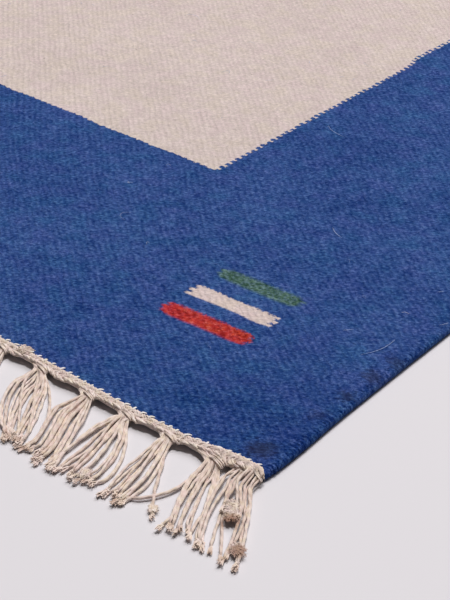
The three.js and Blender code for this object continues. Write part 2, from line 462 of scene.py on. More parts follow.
def yarnMaterial(name, stops, relief=0.5):
    shade = Shade(name)
    run = shade.add("ShaderNodeUVMap", {"uv_map": "yarnRun"})
    around, fromTip, _ = shade.parts(run)
    place = shade.millimetres()

    twist = ((around * 2 + fromTip / yarn["turn"]) * fullTurn).maths("SINE")
    strandTone = shade.random(around.maths("FLOOR"), 1.0)
    cloud = shade.noise(place, 1.3, 3, 0.65)
    tones = yarn["tones"]
    tone = 0.54 + (strandTone - 0.5) * tones["strand"] + (cloud - 0.5) * tones["cloud"]
    # the twist also paints highlight and shade along the plies of the yarn
    tone = tone + twist * tones["twist"]
    hue = shade.noise(shade.moved(place, 23, 61), 3.4, 2)
    colour = shade.uneven(shade.colours(tone, stops), hue, yarn["drift"])
    soil = yarn["soiled"]
    soiled = shade.distance(place, soil["at"]).ramp(soil["reach"], 8) * cloud.ramp(0.3, 0.7)
    colour = shade.mix(soiled * soil["depth"], colour, yarn["dirtAndShade"])
    worn = fromTip.ramp(6, 0.5) * (shade.noise(shade.moved(place, 3, 8), 3, 2).ramp(0.38, 0.62) * 0.7 + 0.3)
    colour = shade.mix(worn * yarn["worn"], colour, yarn["tip"])
    # dust and painted shade: brown spots among the frayed plies by each cut end
    dustAndShade = fromTip.ramp(11, 3) * shade.noise(shade.moved(place, 71, 19), 8, 2).ramp(0.5, 0.66)
    colour = shade.mix(dustAndShade * yarn["dustAndShade"], colour, yarn["dirtAndShade"])
    # brown stain and painted shade under the corner tufts
    for brownX, brownY, reach, depth in yarn["stainsAndShade"]:
        stainAndShade = shade.distance(place, (brownX, brownY, 2.5)) + (cloud - 0.5) * 5
        colour = shade.mix(stainAndShade.ramp(reach, 2) * depth, colour, yarn["stainAndShade"])
    bump = twist * yarn["bumps"]["twist"] + cloud * yarn["bumps"]["cloud"]
    return shade.finish(colour, bump, relief * mm, roughness=0.95, fuzz=0.6)


def looseMaterial(name, stops):  # single wool hairs on the surface
    shade = Shade(name)
    run = shade.add("ShaderNodeUVMap", {"uv_map": "yarnRun"})
    around, _, _ = shade.parts(run)
    pick = shade.random(around.maths("FLOOR"), 2.0)
    return shade.finish(shade.colours(pick, stops), pick, 0.0001 * mm, roughness=0.8)


def placed(name, data):  # a new object in the scene
    thing = bpy.data.objects.new(name, data)
    bpy.context.scene.collection.objects.link(thing)
    return thing


def meshFrom(name, points, faces, material, smooth=True):
    mesh = bpy.data.meshes.new(name)
    faces = [face for group in faces for face in group.tolist()]
    mesh.from_pydata(points, [], faces, shade_flat=not smooth)
    mesh.validate()
    mesh.materials.append(material)
    piece = placed(name, mesh)
    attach(piece, "root")
    return piece


def placesOf(x, y, z):  # one array of places
    return np.stack(np.broadcast_arrays(x, y, z), axis=-1)


def unit(vectors, least=0.0):
    return vectors / (np.linalg.norm(vectors, axis=-1, keepdims=True) + least)


def lengthAlong(paths, weight=1.0):  # from the start of each path to each of its rings
    steps = np.linalg.norm(np.diff(paths, axis=1), axis=2) * weight
    return np.concatenate([np.zeros((len(paths), 1)), np.cumsum(steps, axis=1)], axis=1)


def pathAt(path, run, places):
    return np.stack([np.interp(places, run, path[:, axis]) for axis in range(3)], axis=-1)


def splineThrough(knots, count):  # smooth paths through knots of shape (strands, knots, 3)
    total = knots.shape[1]
    before = 2 * knots[:, :1] - knots[:, 1:2]
    beyond = 2 * knots[:, -1:] - knots[:, -2:-1]
    padded = np.concatenate([before, knots, beyond], axis=1)
    places = np.linspace(0, 1, count) * (total - 1)
    low = np.minimum(places.astype(int), total - 2)
    t = (places - low)[None, :, None]
    a, b, c, d = (padded[:, low + i] for i in range(4))
    straight = 2 * b + (c - a) * t
    return 0.5 * (straight + (2 * a - 5 * b + 4 * c - d) * t**2 + (3 * b - a - 3 * c + d) * t**3)


def tubes(paths, radii, sides):  # closed tubes along paths (strands, rings, 3) with radii (strands, rings)
    strands, rings, _ = paths.shape
    heading = unit(np.gradient(paths, axis=1), 1e-12)
    side = unit(np.cross(heading, np.array([0.03, 0.02, 1.0])), 1e-12)
    up = np.cross(side, heading)
    angles = np.arange(sides) * fullTurn / sides + (math.pi / 6 if sides == 3 else 0)  # a flat side up
    cos, sin = np.cos(angles)[:, None], np.sin(angles)[:, None]
    ring = side[:, :, None] * cos + up[:, :, None] * sin
    skin = (paths[:, :, None] + ring * radii[:, :, None, None]).reshape(strands, rings * sides, 3)
    first = paths[:, 0] - heading[:, 0] * radii[:, 0, None] * 0.4
    last = paths[:, -1] + heading[:, -1] * radii[:, -1, None] * 0.4
    points = np.concatenate([skin, first[:, None], last[:, None]], axis=1)

    here = np.arange(sides)
    after = (here + 1) % sides
    base = (np.arange(rings - 1) * sides)[:, None]
    quads = np.stack([base + here, base + after, base + sides + after, base + sides + here], axis=-1)
    end = (rings - 1) * sides
    startCap = np.stack([after, here, np.full(sides, rings * sides)], axis=-1)
    endCap = np.stack([end + here, end + after, np.full(sides, rings * sides + 1)], axis=-1)
    offsets = (np.arange(strands) * points.shape[1])[:, None, None]
    quads = (quads.reshape(-1, 4) + offsets).reshape(-1, 4)
    caps = (np.concatenate([startCap, endCap]) + offsets).reshape(-1, 3)
    return points.reshape(-1, 3), [quads, caps]


def runMap(piece, paths, sides, extra):  # strand number plus the way round, and millimetres from the tip
    strands, rings, _ = paths.shape
    fromTip = lengthAlong(paths[:, ::-1])[:, ::-1] * 1000 + extra
    number = np.arange(strands)
    lower, upper = (0.02 + 0.96 * place / sides for place in (np.arange(sides), np.arange(1, sides + 1)))
    us = np.stack([lower, upper, upper, lower], axis=-1) + number[:, None, None, None]
    here, after = fromTip[:, :-1], fromTip[:, 1:]
    vs = np.stack([here, here, after, after], axis=-1)[:, :, None]
    shape = (strands, rings - 1, sides, 4)
    quadPart = np.stack([np.broadcast_to(us, shape), np.broadcast_to(vs, shape)], axis=-1)
    capU = np.broadcast_to((number + 0.5)[:, None, None], (strands, 2 * sides, 3))
    shape = (strands, sides, 3)
    capV = np.concatenate([np.broadcast_to(fromTip[:, :1, None], shape), np.full(shape, extra)], axis=1)
    capPart = np.stack([capU, capV], axis=-1)
    layer = piece.data.uv_layers.new(name="yarnRun")
    layer.data.foreach_set("uv", np.concatenate([quadPart.ravel(), capPart.ravel()]).astype(np.float32))


def tubePiece(name, paths, radii, sides, material, extra=0.0):
    points, faces = tubes(paths, np.broadcast_to(radii, paths.shape[:2]), sides)
    piece = meshFrom(name, points, faces, material, smooth=sides > 3)
    runMap(piece, paths, sides, extra)
    return piece


def unevenRadii(rng, count, thick, spread, taper):
    return thick * rng.uniform(*spread, (count, 1)) * np.array(taper)


def spacing(half):  # mesh lines across the cloth, closer together near its edges
    fine = half - np.array(cloth["edgeCells"]) * mm
    inner = fine[-1]
    wide = np.linspace(-inner, inner, 2 * math.ceil(inner / cloth["cell"]) + 1)
    return np.concatenate([-fine[:-1], wide, fine[:-1][::-1]])


def band(first, second):  # faces between two closed rings
    return np.stack([first, second, np.roll(second, -1), np.roll(first, -1)], axis=-1)


def makeCloth(material):
    rounding = cloth["edgeRound"]
    s, t = np.meshgrid(spacing(halfWidth) / halfWidth, spacing(halfLength) / halfLength)
    x = s * (sideAt(t * halfLength * np.sign(s)) - rounding)
    y = t * (endAt(-s * halfWidth * np.sign(t)) - rounding)
    fromEdge = np.minimum((1 - abs(s)) * halfWidth, (1 - abs(t)) * halfLength)
    rise = lieOfCloth(x, y) * smoothStep(0, 20 * mm, fromEdge)
    drop = cloth["edgeDrop"] * (1 - smoothStep(0, 5 * mm, fromEdge))
    upper = placesOf(x, y, topZ - cloth["sunk"] + rise - drop).reshape(-1, 3)
    lower = placesOf(x, y, baseZ).reshape(-1, 3)

    count = s.size
    index = np.arange(count).reshape(s.shape)
    corners = [index[:-1, :-1], index[:-1, 1:], index[1:, 1:], index[1:, :-1]]
    quads = np.stack(corners, axis=-1).reshape(-1, 4)
    loop = np.concatenate([index[0, :-1], index[:-1, -1], index[-1, :0:-1], index[:0:-1, 0]])
    rim = upper[loop]
    way = np.roll(rim, -1, axis=0) - np.roll(rim, 1, axis=0)
    out = unit(np.stack([way[:, 1], -way[:, 0]], axis=-1))

    points, faces = [upper, lower], [quads, quads[:, ::-1] + count]
    previous, start = loop, 2 * count
    middle, tall = (rim[:, 2] + baseZ) / 2, (rim[:, 2] - baseZ) / 2
    for angle in np.radians(cloth["rimAngles"]):
        ring = np.empty_like(rim)
        ring[:, :2] = rim[:, :2] + out * rounding * math.cos(angle)
        ring[:, 2] = middle + tall * math.sin(angle)
        points.append(ring)
        current = start + np.arange(len(loop))
        faces.append(band(previous, current))
        previous, start = current, start + len(loop)
    faces.append(band(previous, loop + count))
    piece = meshFrom("wovenCloth", np.concatenate(points), faces, material)
    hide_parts("cloth")
    return piece


turns = {  # where the weft turns back at each side: a low roll of half-sunk loops
    "radius": 1.25 * mm,
    "sides": 4,
    "proud": 0.3 * mm,
    "angles": [90, 90, 62, 25, -25, -62, -90, -90],  # round the edge, from the top to the underside
    "inwards": [4.2, 2.3, 1.0, 0.1, 0.1, 1.0, 2.3, 4.2],
    "sunk": [0.75, 0.1, 0, 0, 0, 0, 0.3, 0.8],
    "taper": [0.8, 1, 1, 1, 1, 1, 1, 0.8],
}


def makeTurns(material):
    rng = np.random.default_rng(11)
    pitch = weave["rowPitch"] * mm
    count = int((2 * halfLength - 10 * mm) / pitch)
    ys = (np.arange(count) - (count - 1) / 2) * pitch
    radius, tall = turns["radius"], topZ - baseZ
    arc = np.radians(turns["angles"])
    inwards, sunk = np.array(turns["inwards"]) * mm, np.array(turns["sunk"]) * mm
    paths, radii = [], []
    for hand in (1, -1):
        edge = sideAt(ys * hand) + turns["proud"] - radius
        slack = rng.normal(0, 0.14 * mm, count)
        shift = rng.normal(0, 0.3 * mm, count)
        x = hand * ((edge + slack)[:, None] - inwards)
        y = (ys + shift)[:, None] + np.linspace(-0.7, 0.7, len(arc)) * mm
        z = tall / 2 + (tall / 2 + turns["proud"] * 0.6 - radius - sunk) * np.sin(arc)
        paths.append(placesOf(x, y, np.maximum(z, baseZ + radius * 0.85)))
        radii.append(radius * (1 + rng.normal(0, 0.05, (count, 1))) * np.array(turns["taper"]))
    points, faces = tubes(np.concatenate(paths), np.concatenate(radii), turns["sides"])
    piece = meshFrom("weftTurns", points, faces, material)


# Tassels from the near corner at +X inwards, in millimetres. neck is from the side of the cloth and
# neckOut from its end. The yarns of each leave the cloth from "since" to "until". left and right are its
# edges as it fans out, across towards the corner from its neck, at each of fringe["stations"] out from the
# cloth. stray is how far its outermost yarn lies past them. leaf is how much the plait bellies out beside
# it, where it is widest and where that ends. short is where a few yarns were cut off, across from its neck.
fringe = {
    "stations": [  # out, and how much of the sway, of the stray and of the upper layer's height shows there
        {"out": 9.5, "sway": 0.2, "stray": 0, "layer": 0},
        {"out": 20.5, "sway": 0.7, "stray": 0.07, "layer": 1.15},
        {"out": 32.5, "sway": 1, "stray": 0.25, "layer": 1.1},
        {"out": 43.5, "sway": 0.7, "stray": 0.72, "layer": 0.9},
        {"out": 50, "sway": 1, "stray": 1, "layer": 0.4},
    ],
    "shown": [
        {
            "neck": 8.6, "neckOut": 2.6, "neckWide": 13, "since": 3.6, "until": 22,
            "left": [-9.2, -5.6, -0.6, 5.5, 10], "right": [8.5, 17, 25, 31.5, 34],
            "leaf": (0, 4, 9), "short": 1.5,
        },
        {
            "neck": 25, "neckOut": 6.4, "neckWide": 7.5, "slope": 15, "until": 50.5, "strands": 11,
            "left": [-4, -3.6, 0, 4.5, 6.5], "right": [6, 12, 18, 23, 27],
            "leaf": (0.8, 5, 12), "stray": -21,
        },
        {
            "neck": 52.3, "until": 76.5, "strands": 11,
            "left": [-3.3, -2, -1.4, 0.8, 1.5], "right": [4, 8.7, 13.5, 14.5, 14],
            "leaf": (1.15, 4, 11.5), "stray": 14,
        },
        {
            "neck": 78.3, "until": 101, "leaf": (1.0, 6, 15),
            "left": [-4.7, -6.9, -6.4, -5.6, -4.2], "right": [5.2, 14.2, 20, 21.5, 20],
        },
        {
            "neck": 102.5, "neckOut": 5.8, "until": 132, "leaf": (0.4, 5, 12),
            "left": [-4.6, -6.8, -1.5, 3.5, 3], "right": [5.2, 10.7, 16.2, 21, 24],
        },
        {
            "neck": 134.4, "neckOut": 5.8, "until": 160, "strands": 15, "leaf": (1.0, 10.5, 22),
            "left": [-4.7, -5.5, 0.8, 11, 20], "right": [10, 19.6, 28.4, 33, 33.5],
        },
    ],
    "common": {  # slope is how far before its neck the bundle turns outwards
        "neckOut": 5.2, "neckWide": 5.6, "slope": 9, "strands": 12, "stray": 0, "short": 0,
    },
    "count": 44,
    "lastNeck": 1184,
    "rings": 25,
    "sides": 5,
    "slim": 0.7,  # how much thinner the yarn is where it is pulled tight in the plait
    "kink": 0.13,
    "cut": 25.5,  # how far out the few short yarns of the corner tassel end
    "lap": 2.9,  # how far the plait lies over the cloth at a corner
    "plies": {
        "count": 9, "long": 4.2, "thick": 0.4, "open": 0.85, "taper": [0.8, 1, 0.95, 0.85, 0.5],
        "fan": [(-0.65, 0.12), (-0.25, 0.4), (0.1, 0.7), (0.45, 0.95), (0.8, 1.1)],  # along, and how wide
    },
    "hatch": {  # the fine yarns twisted over the plait's upper edge
        "pitch": 1.5, "thick": 0.48, "taper": [0.7, 1, 1, 1, 1, 0.9],
        "over": [-0.8, 0.1, 1.2, 2.3, 3.3], "out": [-0.9, -0.35, 0.25, 0.85, 1.4],
        "up": [4.5, 5.05, 5.3, 5.15, 4.5],
    },
    "pips": [0.45, 0.6, 0.58, 0.5, 0.38, 0.2],
    "cores": {"out": [0.5, 1.7], "up": [3.0, 2.6], "wave": [0.15, 0.2], "thick": [1.4, 1.2]},
    "braid": {  # three strands of three yarns along the plait
        "long": 15, "thick": 0.66, "rings": 620, "pace": [(2.4, 0.047, 0), (1.7, 0.019, 1)],
    },
    "binding": {  # the yarn that holds each neck
        "turns": 3, "thick": 0.46,
        "across": [-1.0, -0.95, -0.5, 0.1, 0.65, 1.0, 1.02],
        "outward": [-1.9, -1.6, -1.0, -0.35, 0.2, 0.6, 0.7],
        "up": [2.2, 3.6, 4.75, 4.95, 4.6, 3.6, 2.2],
    },
    "tufts": [  # loose wool in the near fringe, "at" is from the corner, outward and up
        {"at": (-150.5, -0.6, 6.0), "turn": 0.0, "long": 2.1, "wide": 1.4, "count": 120, "disorder": 1.6},
        {"at": (1.2, 25.3, 3.4), "turn": -0.93, "long": 3.6, "wide": 1.5, "count": 420, "disorder": 1.0},
        {"at": (18.0, 42.0, 2.2), "turn": -0.93, "long": 1.9, "wide": 1.5, "count": 210, "disorder": 0.9},
        {"at": (-64.6, 47.5, 2.1), "turn": -1.1, "long": 1.5, "wide": 1.5, "count": 170, "disorder": 0.35},
        {"at": (-26.6, 45.0, 1.3), "turn": -1.1, "long": 1.2, "wide": 1.0, "count": 90, "disorder": 0.4},
    ],
    "curl": {"thick": 0.2, "coreThick": 6.0, "taper": [0.6, 1, 1.1, 1, 0.6]},
}


def allTassels():
    rng, leafRng = np.random.default_rng(41), np.random.default_rng(57)
    common = fringe["common"]
    tassels = [{**common, **tassel} for tassel in fringe["shown"]]
    first = tassels[-1]["neck"]
    others = fringe["count"] - len(tassels)
    pitch = (fringe["lastNeck"] - first) / others
    for i in range(others):
        shape = fringe["shown"][1 + (i * 3 + 1) % 5]  # not the one at the corner
        neck = first + pitch * (i + 1)
        wide, lean = rng.uniform(0.85, 1.15), np.linspace(0.1, 1, 5) * rng.normal(0, 2.5)
        tassels.append(
            {
                **common,
                "neck": neck,
                "neckOut": common["neckOut"] + rng.normal(0, 0.4),
                "until": min(neck + pitch - 1.5, 2000 * halfWidth - 3),
                **{side: np.array(shape[side]) * wide + lean for side in ("left", "right")},
                "stray": rng.choice([0, 0, 0, -13, 11]),
                "leaf": (leafRng.uniform(0.4, 1.15), leafRng.uniform(4, 8), leafRng.uniform(12, 18)),
            }
        )
    return tassels


def bellyAt(x, tassels):  # 0 to about 1, where the plait bellies out on the corner side of each neck
    belly = np.zeros_like(x)
    for tassel in tassels:
        size, peak, last = tassel["leaf"]
        past = x / mm - (halfWidth / mm - tassel["neck"])
        belly = np.maximum(belly, size * smoothStep(0.3, peak, past) * (1 - smoothStep(peak, last, past)))
    return belly


def lapAt(x):  # how far the plait lies over the cloth, in metres
    fromSide = halfWidth - np.abs(x)
    lap = fringe["lap"] * mm * smoothStep(46 * mm, 14 * mm, fromSide)
    return lap * smoothStep(0.5 * mm, 6 * mm, fromSide)


def lapShare(out):  # how much of that a place takes part in, by how far out it lies
    return np.clip((6.5 - out) / 6, 0, 1)


def liftedOver(up, over, here):  # how high it then lies, "over" is how far it lies over the cloth
    return up + smoothStep(-1.6, 1.2, over) * here * np.maximum(0, 5.5 + (up - 4) * 0.45 - up)


def strandKnots(tassel, rng):
    # knots (across, outward, up) of one tassel's yarns, across towards the corner from the neck
    count = tassel["strands"]
    starts = tassel["neck"] - np.linspace(tassel["until"], tassel.get("since", tassel["neck"] - 1), count)
    starts += rng.normal(0, 0.3, count)
    neckOut, wide = tassel["neckOut"], tassel["neckWide"]
    lane = np.linspace(-wide / 2, wide / 2, count) + rng.normal(0, 0.25, count)
    share = np.linspace(0, 1, count)
    around = np.radians(-30 + 165 * share)  # the farthest yarns lie lowest in front, the nearest on top
    order = np.argsort(np.argsort(share + rng.normal(0, 0.13, count))) / (count - 1)
    later = np.argsort(np.argsort(order + rng.normal(0, 0.17, count))) / (count - 1)
    layer = rng.permutation(np.arange(count) % 5 < 2).astype(float)  # some lie on top of the others
    knots = []

    def knot(across, outward, up):
        knots.append(placesOf(across, outward, up))

    def noise(size):
        return rng.normal(0, size, count)

    # out of the cloth, along the plait, and into the neck
    knot(starts - 0.9, -2.0, 3.4)
    knot(starts - 0.1, -0.9, 3.9)
    knot(starts + 1.3, 0.3, 4.1)
    knot(starts + 3.0, 1.3, 4.0 + noise(0.1))
    away = starts + 3.0
    for part in (0.34, 0.66, 0.88):
        across = away + (lane - away) * part
        close = 1 - np.clip(np.abs(across - lane) / tassel["slope"], 0, 1)
        bundleOut = 1.6 + 0.8 * np.cos(around) + (neckOut - 2.7) * close**1.4 + noise(0.08)
        knot(across, bundleOut, 3.4 + 0.7 * np.sin(around) - 0.1 * close + noise(0.08))
    knot(lane, neckOut + 0.25 * np.cos(around), 3.1 + 0.7 * np.sin(around) + noise(0.15))

    # and from there to the tips
    left, right = np.array(tassel["left"]), np.array(tassel["right"])
    slots = [(order + rng.normal(0, 0.035, count)), (later + rng.normal(0, 0.04, count))]
    stray = np.zeros(count)
    if tassel["stray"]:
        stray[np.argmin(later) if tassel["stray"] < 0 else np.argmax(later)] = tassel["stray"]
    strays = stray != 0
    sway = noise(0.35)
    for i, (station, low, spread) in enumerate(zip(fringe["stations"], left, right - left)):
        t = i / 4
        place = low + spread * (slots[0] * (1 - t) + slots[1] * t) + sway * station["sway"] + noise(0.2)
        place = place + stray * station["stray"]
        out, up = station["out"], 0.95 + layer * station["layer"]
        if i == 0:
            knot(place * 0.75 + lane * 0.25, out - 0.6, 1.7 + 1.3 * layer + noise(0.2))
            between = left[1] + (right[1] - left[1]) * slots[0]
            knot(place * 0.5 + between * 0.45, 14, 1.2 + 1.2 * layer)
        elif i < 4:
            knot(place, out, up + strays * 0.6)
        else:
            knot(place, out + noise(1.7) - strays * 3, up)
    return np.stack(knots, axis=1)


def bindingKnots(tassel, rng):  # a yarn wound slantwise round the neck
    binding = fringe["binding"]
    number = np.arange(binding["turns"])[:, None]
    half = tassel["neckWide"] / 2
    across = np.array(binding["across"]) * (half + 0.9)
    outward = tassel["neckOut"] + np.array(binding["outward"])
    outward = outward + ((number - binding["turns"] + 1) * 0.95 + rng.normal(0, 0.12, number.shape))
    up = np.array(binding["up"])
    up = up + (rng.normal(0, 0.1, (len(number), len(up))) - 0.25 * (number % 2))
    return placesOf(across, outward, up)


def placeAtEnd(knots, neckX, end):
    # from a tassel's own measure, in millimetres, to the near end, or turned half round to the far one
    across, out, up = (knots[..., axis] for axis in range(3))
    x = neckX + across * mm
    limit = halfWidth - 3 * mm
    inside = np.clip(x, -limit, limit)
    close = np.clip(1 - out / 7, 0, 1)
    edge = close * endAt(inside) + (1 - close) * endAt(neckX)
    inwards = lapAt(inside) * lapShare(out)
    height = liftedOver(up, inwards / mm - out, (out > 0.2) & (inwards > 0.4 * mm))
    places = placesOf(x, -edge - out * mm + inwards, baseZ + height * mm)
    return places * np.array([-1, -1, 1]) if end > 0 else places


def inPlait(x, out, up):  # places in the near plait: x in metres, out and up in millimetres
    lap, share = lapAt(x), lapShare(out)
    height = liftedOver(up, lap / mm * share - out, lap > 0.4 * mm)
    return placesOf(x, -endAt(x) - out * mm + lap * share, height * mm)


def evenRings(paths, rings, first):
    # the same paths with rings evenly apart along them, closer together by "first" at their start
    along = lengthAlong(paths, np.linspace(first, 1, paths.shape[1] - 1) ** 1.5)
    return np.stack([pathAt(path, run, np.linspace(0, run[-1], rings)) for path, run in zip(paths, along)])


def cutOff(path, out):  # a yarn that ends this far from the cloth and lies on the others
    kept = path[np.abs(path[:, 1]) < halfLength + out]
    short = pathAt(kept, np.arange(len(kept)), np.linspace(0, len(kept) - 1, len(path)))
    short[:, 2] += 1.5 * mm * smoothStep(0.45, 0.8, np.linspace(0, 1, len(path)))
    return short


def kinked(paths, rng):  # the small waves that a yarn keeps from being woven
    count, rings, _ = paths.shape
    phase = rng.uniform(0, 6.28, (count, 1))
    length = rng.uniform(9, 15, (count, 1)) * mm
    size = fringe["kink"] * mm * rng.uniform(0.4, 1.6, (count, 1))
    size = size * smoothStep(0.36, 0.55, np.linspace(0, 1, rings))
    wave = size * np.sin(lengthAlong(paths) / length * fullTurn + phase)
    heading = unit(np.gradient(paths, axis=1))
    out = paths.copy()
    out[..., 0] += -heading[..., 1] * wave
    out[..., 1] += heading[..., 0] * wave
    return out


def frayedTips(paths, rng):  # each cut end opens into its plies, which curl
    ends = paths[:, -1]
    heading = ends - paths[:, -4]
    heading[:, 2] = 0
    heading = unit(heading)
    across = placesOf(-heading[:, 1], heading[:, 0], 0)
    plies = fringe["plies"]
    knots = []
    for i in range(plies["count"]):
        fan = ((i + 0.5) / plies["count"] - 0.5) * 2 + rng.normal(0, 0.22, len(ends))
        length = rng.uniform(0.55, 1.0, len(ends)) * plies["long"] * mm
        lift = np.abs(rng.normal(0.2, 0.5, len(ends))) * mm
        curl = rng.normal(0, 0.5, len(ends)) * mm
        wave = rng.normal(0, 0.35, len(ends)) * mm
        line = []
        for share, wide in plies["fan"]:
            aside = fan * wide * plies["open"] * mm + curl * max(0, share) ** 2
            aside = aside + wave * math.sin(share * 7 + i)
            point = ends + heading * (length * share)[:, None] + across * aside[:, None]
            height = ends[:, 2] + lift * (share + 0.65) - 0.35 * mm * share
            point[:, 2] = np.maximum(height, baseZ + 0.45 * mm)
            line.append(point)
        knots.append(np.stack(line, axis=1))
    return np.concatenate(knots)


def braidKnots(tassels, rng):  # three strands, each of three yarns, that cross over each other
    braid = fringe["braid"]
    x = np.linspace(-1, 1, braid["rings"]) * (halfWidth - 6 * mm)
    belly = bellyAt(x, tassels)
    pace = waves(x, braid["pace"], x / mm)
    lines = []
    for strand in range(3):
        for number in (-1, 0, 1):
            angle = (pace - number * 1.15) / braid["long"] * fullTurn + strand * fullTurn / 3
            wide = (1.3 + 0.1 * number) * (1 + 0.7 * belly)
            tall = 0.58 + 0.1 * number
            out = 1.75 + 1.1 * belly + wide * np.sin(angle) + rng.normal(0, 0.05, len(x))
            up = 4.3 + tall * np.sin(2 * angle) - 0.25 * belly + rng.normal(0, 0.04, len(x))
            lines.append(inPlait(x, out, up - 0.5 * smoothStep(2.6, 5.2, out)))
    return np.stack(lines)


def hatchKnots(rng):  # fine yarns twisted slantwise over the end of the cloth, which dive into the plait
    hatch = fringe["hatch"]
    reach = halfWidth - 3.6 * mm
    count = int(2 * reach / (hatch["pitch"] * mm))
    x = np.linspace(-reach, reach, count) + rng.normal(0, 0.15 * mm, count)
    long = rng.normal(0, 0.25, count)
    line = []
    for over, out, up in zip(hatch["over"], hatch["out"], hatch["up"]):
        px = np.clip(x + over * mm, -halfWidth + 2 * mm, halfWidth - 2 * mm)
        lap = lapAt(px)
        py = -endAt(px) - (out + long * 0.4) * mm + lap * lapShare(out)
        pz = up * mm + np.minimum(lap, 2 * mm) * 0.4 + rng.normal(0, 0.1 * mm, count)
        line.append(placesOf(px, py, pz))
    return np.stack(line, axis=1)


def pipKnots(rng):  # every other warp shows as a pale pip that leans over the edge of the weft
    pitch = 2 * weave["warpPitch"]
    count = int(2000 * halfWidth / pitch) - 1
    x = ((np.arange(count) - (count - 1) / 2) * pitch + rng.normal(0, 0.3, count)) * mm
    lap = lapAt(x)
    tall = (0.9 + np.abs(rng.normal(0, 0.5, count))) * mm + lap * 0.2
    lean = rng.normal(0.7, 0.8, count) * mm
    y = -endAt(x) + lap
    line = [
        (x - 0.5 * mm, y - 0.6 * mm, 5.1 * mm + lap * 0.2),
        (x, y + 0.3 * mm, 5.6 * mm + lap * 0.1),
        (x + lean * 0.6, y + tall * 0.7 + 0.3 * mm, 5.5 * mm),
        (x + lean, y + tall + 0.5 * mm, 5.2 * mm),
    ]
    return np.stack([placesOf(*point) for point in line], axis=1)


def coreKnots(rng):  # the yarns that run along inside the plait
    cores = fringe["cores"]
    x = np.linspace(-1, 1, 130) * (halfWidth - 8 * mm)
    lines = []
    for out, up, wave in zip(cores["out"], cores["up"], cores["wave"]):
        y = -endAt(x) - (out + wave * np.sin(x / 0.0043 + out)) * mm
        lines.append(placesOf(x, y, up * mm + 0.1 * mm * rng.normal(0, 1, len(x))))
    return np.stack(lines)


def alongCurl(x, y, turn, bend, long, share):  # the place at this share of a curl through x and y
    angle = turn + bend * share
    return x + np.cos(angle) * long * share, y + np.sin(angle) * long * share


def tuftKnots(rng):  # curls of loose wool round a few thick ones, and how thick each is
    lines, thick = [], []
    for tuft in fringe["tufts"]:
        count = tuft["count"]
        across, out, up = tuft["at"]
        inner = np.arange(count) < count // 12
        along = tuft["long"] * np.clip(rng.normal(0, 1, count), -1.6, 1.6) * np.where(inner, 0.6, 1)
        aside = tuft["wide"] * np.clip(rng.normal(0, 1, count), -1.6, 1.6) * np.where(inner, 0.5, 1)
        cos, sin = math.cos(tuft["turn"]), math.sin(tuft["turn"])
        x = halfWidth + (across + along * cos - aside * sin) * mm
        y = -halfLength + (-out + along * sin + aside * cos) * mm
        turn = rng.normal(tuft["turn"], tuft["disorder"], count)
        bend = rng.normal(0, 0.3 + 0.7 * tuft["disorder"], count)
        size = rng.uniform(0.9, 2.0, count) * mm
        height = up + rng.uniform(0.1, 0.9, count) * (out > 5) - 0.9 * inner
        line = []
        for share in (-1, -0.4, 0.3, 1):
            rise = height - 0.7 * abs(share) + rng.normal(0, 0.15, count)
            px, py = alongCurl(x, y, turn, bend, size, share)
            line.append(placesOf(px, py, np.maximum(rise, 0.6 + 0.8 * inner) * mm))
        lines.append(np.stack(line, axis=1))
        thick.append(np.where(inner, fringe["curl"]["coreThick"], 1.0) * fringe["curl"]["thick"] * mm)
    return np.concatenate(lines), np.concatenate(thick)


def makeFringe(name, end, node, finishes, seed):
    rng = np.random.default_rng(seed)
    pieces = []

    def add(part, paths, radii, sides, finish, extra=60.0):
        piece = tubePiece(name + part, paths, radii, sides, finishes[finish], extra)
        pieces.append(piece)

    lines, bindings, tassels = [], [], allTassels()
    for tassel in tassels:
        neckX = halfWidth - tassel["neck"] * mm
        path = splineThrough(placeAtEnd(strandKnots(tassel, rng), neckX, end), 140)
        if tassel["short"]:  # the yarns nearest to there were cut off
            away = np.abs(np.abs(path[:, 92, 0]) - neckX - tassel["short"] * mm)
            for i, out in zip(np.argsort(away)[:3], rng.normal(fringe["cut"], 1, 4) * mm):
                path[i] = cutOff(path[i], out)
        lines.append(kinked(evenRings(path, fringe["rings"], 1.9), rng))
        bindings.append(splineThrough(placeAtEnd(bindingKnots(tassel, rng), neckX, end), 11))
    paths = np.concatenate(lines)
    radii = yarn["radius"] * (1 + rng.normal(0, 0.08, (len(paths), 1)))
    radii = radii * (1 + rng.normal(0, 0.04, paths.shape[:2]))
    slim = fringe["slim"]
    radii *= slim + (1 - slim) * smoothStep(0.3, 0.5, np.linspace(0, 1, fringe["rings"]))
    radii[:, -1] *= 0.7
    add("", paths, radii, fringe["sides"], "yarn", 5.0)
    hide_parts(node)

    turned = np.array([-1, -1, 1]) if end > 0 else 1
    hatch, plies = fringe["hatch"], fringe["plies"]
    hatchPaths = splineThrough(hatchKnots(rng), 6) * turned
    radii = unevenRadii(rng, len(hatchPaths), hatch["thick"] * mm, (0.8, 1.2), hatch["taper"])
    add("Hatch", hatchPaths, radii, 3, "fine")
    tipPaths = splineThrough(frayedTips(paths, rng), 5)
    radii = unevenRadii(rng, len(tipPaths), plies["thick"] * mm, (0.7, 1.2), plies["taper"])
    add("Tips", tipPaths, radii, 3, "fine", 0.0)
    add("Pips", splineThrough(pipKnots(rng), 6) * turned, np.array(fringe["pips"]) * mm, 3, "pale")
    add("Cores", coreKnots(rng) * turned, np.array(fringe["cores"]["thick"])[:, None] * mm, 8, "litPlait")
    add("Bindings", np.concatenate(bindings), fringe["binding"]["thick"] * mm, 5, "litPlait")
    braidPaths = braidKnots(tassels, rng) * turned
    radii = fringe["braid"]["thick"] * mm * (1 + rng.normal(0, 0.05, braidPaths.shape[:2]))
    add("Braid", braidPaths, radii, 5, "litPlait")
    if end < 0:
        knots, thick = tuftKnots(rng)
        radii = thick[:, None] * np.array(fringe["curl"]["taper"])
        add("Tufts", splineThrough(knots, 5), radii, 3, "fine", 5.5)
    return pieces


